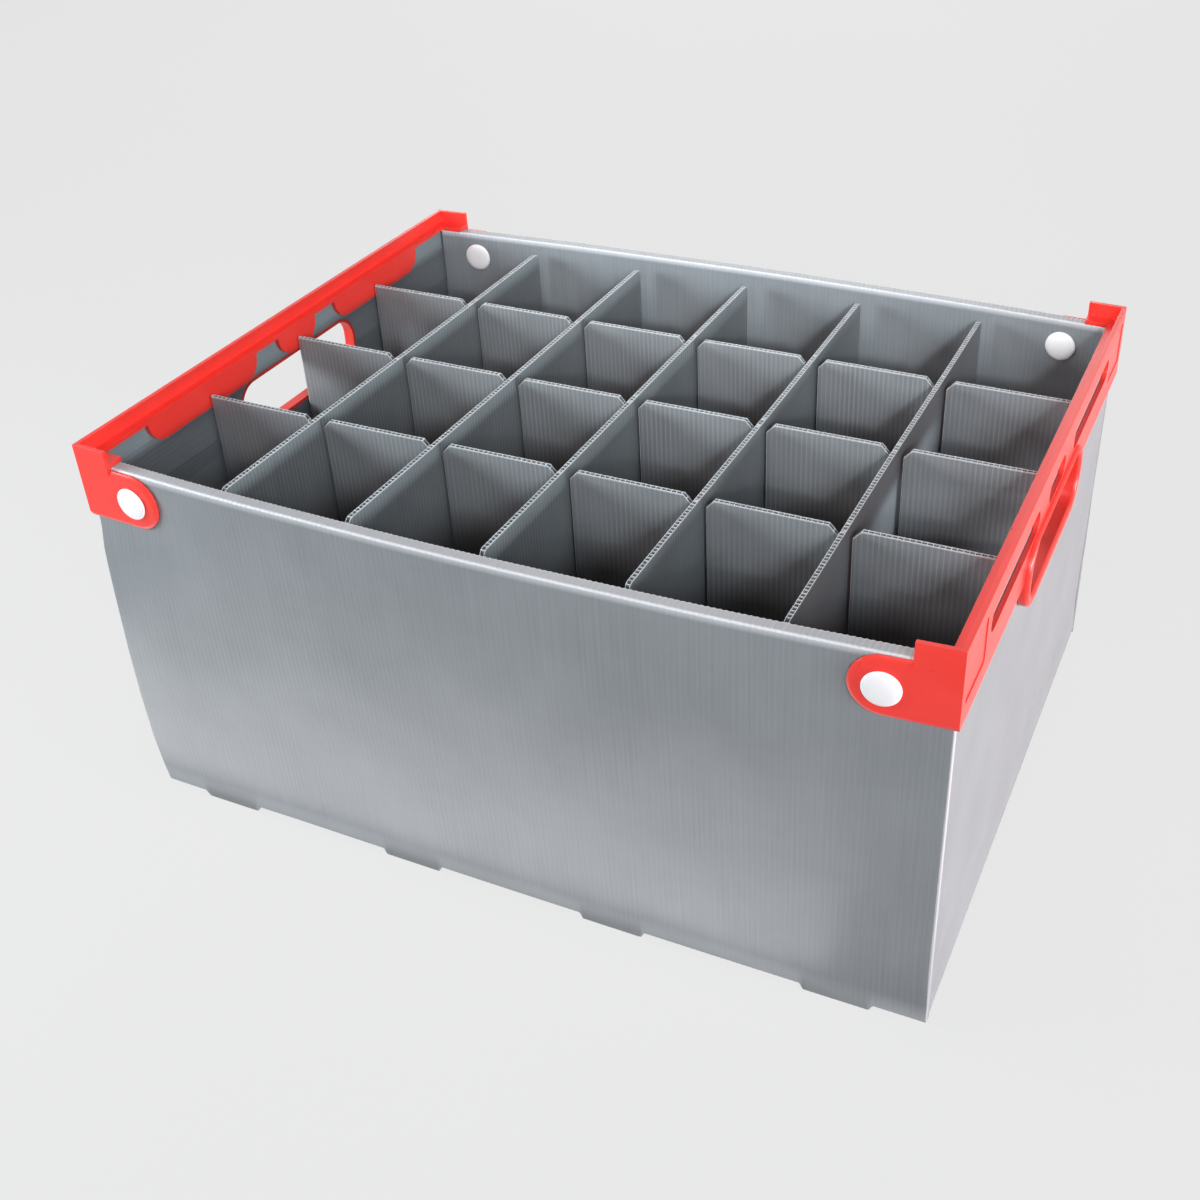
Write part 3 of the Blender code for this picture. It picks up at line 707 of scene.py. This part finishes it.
def make_end_frame(name, node, is_left, material):
    """One moulding: plate outside the end wall, web over its edge, hooks inside, ears at the corners."""
    flange_foot = RIVET_Z - EAR_RADIUS
    plate = (PLATE_IN, -FLANGE_OUT, flange_foot), (PLATE_OUT, FLANGE_OUT, RAIL_TOP)
    body = block(name, *plate, material)

    def join(low, high):
        combine(body, block("block", low, high, material))

    def join_loft(*rings):
        combine(body, loft("tool", rings, material))

    def cut(*rings):
        combine(body, loft("cutter", rings, material), "DIFFERENCE")

    join((HOOK_IN, -FLANGE_OUT, WEB_FOOT), (PLATE_OUT, FLANGE_OUT, WEB_TOP))
    for side in (-1, 1):
        low, high = sorted((side * WEB_SIDE, side * FLANGE_OUT))
        join((CORNER_IN, low, WEB_FOOT), (PLATE_OUT, high, WEB_TOP))
        low, high = sorted((side * FLANGE_IN, side * FLANGE_OUT))
        join((CORNER_IN, low, flange_foot), (PLATE_OUT, high, RAIL_TOP))
        outer = ear_outline(EAR_RADIUS)
        inner = ear_outline(EAR_RADIUS - EAR_BEVEL)
        join_loft(
            on_y(outer, side * FLANGE_IN),
            on_y(outer, side * (FLANGE_OUT - EAR_BEVEL_DEPTH)),
            on_y(inner, side * FLANGE_OUT),
        )
    for low, high in HOOK_SPANS:
        hook = rounded_box(low, high, WEB_FOOT - HOOK_DEPTH, WEB_FOOT + FRAME_WALL / 2, HOOK_RADIUS, 0)
        join_loft(on_x(hook, HOOK_IN), on_x(hook, HOOK_OUT))
    collar = hand_hole_outline(COLLAR_WALL)
    join_loft(on_x(collar, HALF_LENGTH - SHEET), on_x(collar, PLATE_OUT - FRAME_WALL / 2))
    rim_top = PLATE_OUT + RIM_PROUD
    rings = [on_x(rim_outline(0), PLATE_IN)]
    for angle in np.radians(np.linspace(0, 90, 6)):
        inset = RIM_ROUND * (1 - math.cos(angle))
        rings.append(on_x(rim_outline(inset), rim_top - RIM_ROUND * (1 - math.sin(angle))))
    join_loft(*rings)

    rings = [on_x(hand_hole_outline(0), HALF_LENGTH - 4 * SHEET)]
    for angle in np.radians(np.linspace(90, 0, 6)):
        margin = RIM_ROUND * (1 - math.sin(angle))
        rings.append(on_x(hand_hole_outline(margin), rim_top - RIM_ROUND * (1 - math.cos(angle))))
    rings.append(on_x(hand_hole_outline(RIM_ROUND), rim_top + RIM_PROUD))
    cut(*rings)
    foot, head, radius = WINDOW
    for low, high in HOOK_SPANS:
        window = rounded_box(low, high, foot, head, radius, radius)
        cut(on_x(window, PLATE_IN - GAP / 2), on_x(window, PLATE_OUT + GAP))
    for side in (-1, 1):
        ends = (HALF_WIDTH - 2 * HEM, HALF_WIDTH + HEM)
        cut(*(circle(RIVET_HOLE, RIVET_X, side * y, RIVET_Z) for y in ends))

    join_coplanar(body)
    bevel = body.modifiers.new("round edges", "BEVEL")
    bevel.width = EDGE_ROUND
    bevel.segments = 2
    bevel.limit_method = "ANGLE"
    bevel.angle_limit = math.radians(40)
    apply_modifiers(body)
    near, far, pad_foot, pad_head = PAD
    over = 0.001  # how far the chamfer's cutter stands past the flange
    lean = over * EAR_BEVEL_DEPTH / EAR_BEVEL
    for side in (-1, 1):
        ends = sorted((side * near, side * far))
        field = rounded_box(*ends, pad_foot, pad_head, PAD_RADIUS, PAD_RADIUS)
        cut(on_x(field, PLATE_OUT - PAD_DEPTH), on_x(field, PLATE_OUT + GAP))
        chamfer = [
            (side * (FLANGE_OUT - EAR_BEVEL_DEPTH - lean), flange_foot - over),
            (side * (FLANGE_OUT + lean), flange_foot - over),
            (side * (FLANGE_OUT + lean), flange_foot + EAR_BEVEL + over),
        ]
        cut(on_x(chamfer, CORNER_IN - 0.00005), on_x(chamfer, PLATE_OUT + over))
    at = points_of(body)
    at_flange = np.abs(at[:, 1]) > HALF_WIDTH - HEM - 0.0016
    at[:, 1] += np.sign(at[:, 1]) * np.where(at_flange, bow_at(at[:, 0], at[:, 2]), 0.0)
    if is_left:
        at[:, :2] *= -1
    move_points(body, at)
    shade(body, 50)
    even = body.modifiers.new("even normals", "WEIGHTED_NORMAL")
    even.keep_sharp = True
    return finish_piece(body, "box", "frame_red", node)


def make_rivet(name, node, profile, x, side, material):
    """A round piece on a line along Y. Each profile point is (radius, distance from the centre plane)."""
    rings = [circle(radius, x, side * distance, RIVET_Z) for radius, distance in profile]
    piece = loft(name, rings, material)
    at = points_of(piece)
    at[:, 1] += side * bow_at(at[:, 0], at[:, 2])
    move_points(piece, at)
    shade(piece, 40)
    return finish_piece(piece, "box", "rivet_white", node)


def head_profile(seat, outwards):
    """A low dome on a short upright rim, from its seat outwards."""
    points = [(HEAD_RADIUS - 0.0002, 0.0), (HEAD_RADIUS, 0.0002), (HEAD_RADIUS, HEAD_RIM)]
    crown = HEAD_HEIGHT - HEAD_RIM
    for share in (0.96, 0.9, 0.8, 0.66, 0.5, 0.34, 0.2, 0.1, 0.04):
        points.append((HEAD_RADIUS * share, HEAD_RIM + crown * (1 - share**2.6) ** 0.62))
    return [(radius, seat + outwards * height) for radius, height in points]


# ---------------------------------------------------------------- materials


class Nodes:
    """A node material under construction."""

    def __init__(self, name):
        self.material = bpy.data.materials.new(name)
        self.material.use_nodes = True
        self.tree = self.material.node_tree
        self.shader = self.tree.nodes["Principled BSDF"]

    def add(self, kind, inputs=(), **settings):
        node = self.tree.nodes.new("ShaderNode" + kind)
        for key, value in settings.items():
            setattr(node, key, value)
        for key, value in dict(inputs).items():
            self.set(node.inputs[key], value)
        return node

    def set(self, socket, value):
        if isinstance(value, bpy.types.NodeSocket):
            self.tree.links.new(value, socket)
        else:
            socket.default_value = value

    def math(self, operation, *values):
        node = self.add("Math", operation=operation)
        for socket, value in zip(node.inputs, values):
            self.set(socket, value)
        return node.outputs[0]

    def noise(self, vector, scale, detail=3.0, roughness=0.5):
        inputs = {"Vector": vector, "Scale": scale, "Detail": detail, "Roughness": roughness}
        return self.add("TexNoise", inputs).outputs["Fac"]

    def remap(self, value, low, high, to_low=0.0, to_high=1.0):
        inputs = {"Value": value, "From Min": low, "From Max": high, "To Min": to_low, "To Max": to_high}
        return self.add("MapRange", inputs).outputs["Result"]

    def stretch(self, vector, scale):
        node = self.add("Mapping", {"Vector": vector, "Scale": scale})
        return node.outputs["Vector"]

    def mix(self, factor, first, second):
        node = self.add("Mix", data_type="RGBA")
        self.set(node.inputs[0], factor)
        self.set(node.inputs[6], first)
        self.set(node.inputs[7], second)
        return node.outputs[2]

    def bump(self, height, strength, distance, normal=None):
        inputs = {"Height": height, "Strength": strength, "Distance": distance}
        if normal is not None:
            inputs["Normal"] = normal
        return self.add("Bump", inputs).outputs["Normal"]


def sheet_material(name, deep, pale, cut, rib_tone, roughness, rib_strength, painted_depth_shade=0.0):
    """Extruded fluted polypropylene: faint rib lines, streaks along the flutes, pale creases and
    cut edges, and painted shade that darkens the sheet towards its foot, standing in for the shadow deep
    in the cells."""
    nodes = Nodes(name)
    place = nodes.add("Attribute", attribute_name="sheet_place").outputs["Vector"]
    wear = nodes.add("Attribute", attribute_name="wear").outputs["Fac"]
    across = nodes.add("SeparateXYZ", {"Vector": place}).outputs["X"]
    turns = nodes.math("MULTIPLY", across, math.pi / (FLUTE * 1000))
    off_rib = nodes.math("ABSOLUTE", nodes.math("SINE", turns))
    rib = nodes.math("POWER", nodes.math("SUBTRACT", 1.0, off_rib), 2.0)
    streaks = nodes.noise(nodes.stretch(place, (1.1, 0.012, 1.0)), 1.0, 4.0, 0.6)
    fine = nodes.noise(nodes.stretch(place, (4.0, 0.05, 1.0)), 1.0, 2.0, 0.5)
    clouds = nodes.noise(nodes.stretch(place, (0.018, 0.018, 1.0)), 1.0, 3.0, 0.55)
    grain = nodes.noise(nodes.stretch(place, (2.2, 2.2, 1.0)), 1.0, 3.0, 0.6)
    cloudy = nodes.remap(clouds, 0.3, 0.7, 0.0, 0.5)
    tone = nodes.math("ADD", cloudy, nodes.remap(streaks, 0.3, 0.7, 0.0, 0.5))
    colour = nodes.mix(tone, (*deep, 1), (*pale, 1))
    patches = nodes.noise(nodes.stretch(place, (0.03, 0.02, 1.0)), 1.0, 2.0, 0.5)
    shown = nodes.math("MULTIPLY", nodes.remap(patches, 0.35, 0.65, 0.35, 1.0), rib_strength)
    colour = nodes.mix(nodes.math("MULTIPLY", rib, shown), colour, (*rib_tone, 1))
    # Painted shade: from 205 mm high down to 130 mm the sheet is mixed more and more towards a warm
    # near-black. This stands in for the shadow deep in the cells; it is not dirt.
    if painted_depth_shade > 0:
        height = nodes.add("SeparateXYZ", {"Vector": place}).outputs["Y"]
        painted_shade_share = nodes.math("ADD", height, nodes.remap(clouds, 0.3, 0.7, -8.0, 8.0))
        painted_shade_share = nodes.remap(painted_shade_share, 130.0, 205.0, painted_depth_shade, 0.0)
        colour = nodes.mix(painted_shade_share, colour, (0.075, 0.054, 0.055, 1))
    whitened = nodes.math("MULTIPLY", wear, nodes.remap(grain, 0.25, 0.6, 0.45, 1.0))
    colour = nodes.mix(whitened, colour, (*cut, 1))
    nodes.set(nodes.shader.inputs["Base Color"], colour)
    rough = nodes.remap(streaks, 0.3, 0.7, roughness - 0.05, roughness + 0.07)
    rough = nodes.math("ADD", rough, nodes.math("MULTIPLY", wear, 0.12))
    nodes.set(nodes.shader.inputs["Roughness"], rough)
    nodes.shader.inputs["IOR"].default_value = 1.49
    normal = nodes.bump(fine, 0.25, 0.00006)
    normal = nodes.bump(clouds, 0.35, 0.0012, normal)
    normal = nodes.bump(grain, 0.12, 0.00005, normal)
    nodes.set(nodes.shader.inputs["Normal"], normal)
    return nodes.material


def moulded_material(name, deep, pale, roughness, translucency):
    """Injection-moulded plastic: faint flow clouds and a fine grain."""
    nodes = Nodes(name)
    place = nodes.add("TexCoord").outputs["Object"]
    clouds = nodes.noise(place, 28.0, 3.0, 0.55)
    flow = nodes.noise(nodes.stretch(place, (60.0, 9.0, 40.0)), 1.0, 3.0, 0.6)
    grain = nodes.noise(place, 2600.0, 2.0, 0.5)
    cloudy = nodes.remap(clouds, 0.0, 1.0, 0.0, 0.6)
    tone = nodes.math("ADD", cloudy, nodes.remap(flow, 0.0, 1.0, 0.0, 0.4))
    colour = nodes.mix(tone, (*deep, 1), (*pale, 1))
    nodes.set(nodes.shader.inputs["Base Color"], colour)
    rough = nodes.remap(flow, 0.0, 1.0, roughness - 0.12, roughness + 0.13)
    nodes.set(nodes.shader.inputs["Roughness"], rough)
    nodes.shader.inputs["IOR"].default_value = 1.5
    nodes.shader.inputs["Subsurface Weight"].default_value = translucency
    nodes.shader.inputs["Subsurface Radius"].default_value = (0.004, 0.002, 0.002)
    nodes.shader.inputs["Subsurface Scale"].default_value = 0.5
    normal = nodes.bump(grain, 0.15, 0.00004)
    normal = nodes.bump(flow, 0.2, 0.0003, normal)
    nodes.set(nodes.shader.inputs["Normal"], normal)
    return nodes.material


def floor_material():
    """A matt floor that glows evenly, so that it stays pale up to the horizon."""
    nodes = Nodes("studio_floor")
    place = nodes.add("TexCoord").outputs["Object"]
    clouds = nodes.noise(place, 3.0, 2.0, 0.5)
    colour = nodes.mix(clouds, (0.045, 0.045, 0.045, 1), (0.055, 0.055, 0.055, 1))
    nodes.set(nodes.shader.inputs["Base Color"], colour)
    nodes.shader.inputs["Roughness"].default_value = 0.9
    nodes.shader.inputs["Specular IOR Level"].default_value = 0.0
    nodes.shader.inputs["Emission Color"].default_value = (1, 1, 1, 1)
    nodes.shader.inputs["Emission Strength"].default_value = FLOOR_GLOW
    return nodes.material


# ---------------------------------------------------------------- stage, light and camera


def make_floor():
    size = FLOOR_SIZE
    corners = [(-size, -size, 0.0), (size, -size, 0.0), (size, size, 0.0), (-size, size, 0.0)]
    floor = add_piece("studio_floor", corners, [(0, 1, 2, 3)], floor_material())
    floor.location.z = cad_low.z - 0.0002
    floor.visible_diffuse = False


def make_sky():
    """The pale room, which shows and reflects. The lights alone light the crate."""
    world = bpy.data.worlds.new("studio")
    bpy.context.scene.world = world
    world.use_nodes = True
    world.node_tree.nodes["Background"].inputs["Color"].default_value = (*PALE, 1.0)
    world.cycles_visibility.diffuse = False


def add_light(name, towards, distance, size, watts, colour, target):
    """A soft area light at a distance in a direction from its target."""
    light = bpy.data.lights.new(name, "AREA")
    light.shape = "RECTANGLE"
    light.size, light.size_y = size
    light.energy = watts
    light.color = colour
    lamp = bpy.data.objects.new(name, light)
    bpy.context.scene.collection.objects.link(lamp)
    direction = Vector(towards).normalized()
    lamp.location = Vector(target) + direction * distance
    lamp.rotation_euler = direction.to_track_quat("Z", "Y").to_euler()
    lamp.visible_camera = False
    return lamp


def add_spot(name, place, target, width, watts, colour):
    """A spot flagged off the outside of the crate: it reaches only the far rows and the back wall."""
    light = bpy.data.lights.new(name, "SPOT")
    light.energy = watts
    light.color = colour
    light.shadow_soft_size = 0.10
    light.spot_size = math.radians(width)
    light.spot_blend = 0.8
    lamp = bpy.data.objects.new(name, light)
    bpy.context.scene.collection.objects.link(lamp)
    lamp.location = place
    lamp.rotation_euler = (Vector(place) - Vector(target)).to_track_quat("Z", "Y").to_euler()
    lamp.visible_camera = False
    return lamp


def make_camera():
    """Stands where the front right corner is nearest, looking down into the cells."""
    camera = bpy.data.cameras.new("camera")
    camera.sensor_width = 36.0
    camera.lens = CAMERA_LENS
    camera.shift_x, camera.shift_y = CAMERA_SHIFT
    camera.clip_start = 0.01
    camera.clip_end = 200.0
    stand = bpy.data.objects.new("camera", camera)
    bpy.context.scene.collection.objects.link(stand)
    forward = Vector(CAMERA_FORWARD).normalized()
    right = Vector(CAMERA_RIGHT).normalized()
    up = right.cross(forward).normalized()
    right = forward.cross(up).normalized()
    turn = Matrix((right, up, -forward)).transposed().to_4x4()
    stand.matrix_world = Matrix.Translation(CAMERA_PLACE) @ turn
    bpy.context.scene.camera = stand


def make_dividers(material):
    """Three long dividers, slotted from above, and five cross dividers, slotted from below."""
    across = [middle_of(f"cross_divider_{i}").x for i in range(1, 6)]
    places = ("front", "middle", "back")
    deep = [middle_of(f"long_divider_{place}").y for place in places]
    for seed, place in enumerate(places, 1):
        node = f"long_divider_{place}"
        make_divider(f"fluted_{node}", node, "divider_nest", across, True, 0.0, seed, material)
    slots = [y - middle_of("cross_divider_1").y for y in deep]
    for i in range(1, 6):
        node = f"cross_divider_{i}"
        make_divider(f"fluted_{node}", node, f"cross_{i}", slots, False, CROSS_CORNER, 10 + i, material)


def make_rivets(material):
    """At each corner, a plug from outside whose pin sits in the sleeve of a socket from inside."""
    seat_out = FLANGE_OUT + GAP
    seat_in = HALF_WIDTH - HEM - GAP
    pin_end = HALF_WIDTH - 0.0055
    plug = [(PIN_RADIUS - 0.0003, pin_end), (PIN_RADIUS, pin_end + 0.0003), (PIN_RADIUS, seat_out)]
    plug += head_profile(seat_out, 1)
    sleeve_end = HALF_WIDTH + 0.0025
    socket = [(SLEEVE_BORE, HALF_WIDTH - 0.0062), (SLEEVE_BORE, sleeve_end)]
    socket += [(SLEEVE_RADIUS, sleeve_end), (SLEEVE_RADIUS, seat_in)]
    socket += head_profile(seat_in, -1)
    rivets = []
    for end_name, end in (("left", -1), ("right", 1)):
        for side_name, side in (("front", -1), ("back", 1)):
            for kind, profile in (("plug", plug), ("socket", socket)):
                corner = f"{kind}_{side_name}_{end_name}"
                name, node = f"domed_{corner}", f"rivet_{corner}"
                rivets.append(make_rivet(name, node, profile, end * RIVET_X, side, material))
    return rivets


def make_lights(box_pieces):
    outside = bpy.data.collections.new("outside")
    for piece in box_pieces:
        outside.objects.link(piece)
    for light in LIGHTS:
        lamp = add_light(*light)
        if light[0] == BOX_LIGHT:
            lamp.light_linking.receiver_collection = outside
    add_spot("flagged spot", SPOT_PLACE, SPOT_TARGET, SPOT_WIDTH, SPOT_WATTS, SPOT_COLOUR)


def main():
    box_sheet = sheet_material(
        "box_sheet",
        deep=(0.188, 0.203, 0.214),
        pale=(0.256, 0.274, 0.286),
        cut=(0.74, 0.75, 0.77),
        rib_tone=(0.27, 0.287, 0.30),
        roughness=0.36,
        rib_strength=0.45,
    )
    divider_sheet = sheet_material(
        "divider_sheet",
        deep=(0.172, 0.180, 0.186),
        pale=(0.232, 0.244, 0.252),
        cut=(0.74, 0.77, 0.78),
        rib_tone=(0.34, 0.355, 0.365),
        roughness=0.36,
        rib_strength=0.75,
        # how strongly the dividers are darkened towards the foot by painted shade, in place of the shadow
        # in the cells
        painted_depth_shade=0.65,
    )
    frame_red = moulded_material("frame_red", (0.82, 0.024, 0.015), (0.99, 0.060, 0.045), 0.32, 0.0)
    rivet_white = moulded_material("rivet_white", (0.88, 0.86, 0.86), (0.98, 0.96, 0.96), 0.36, 0.15)

    box_pieces = [
        make_long_wall("front_long_wall", -1, box_sheet),
        make_long_wall("back_long_wall", 1, box_sheet),
        make_folded_floor(box_sheet),
    ]
    make_dividers(divider_sheet)
    box_pieces.append(make_end_frame("moulded_end_frame_right", "end_frame_right", False, frame_red))
    box_pieces.append(make_end_frame("moulded_end_frame_left", "end_frame_left", True, frame_red))
    box_pieces += make_rivets(rivet_white)

    make_floor()
    make_sky()
    make_lights(box_pieces)
    make_camera()
    bpy.context.scene.view_settings.view_transform = "Standard"


main()
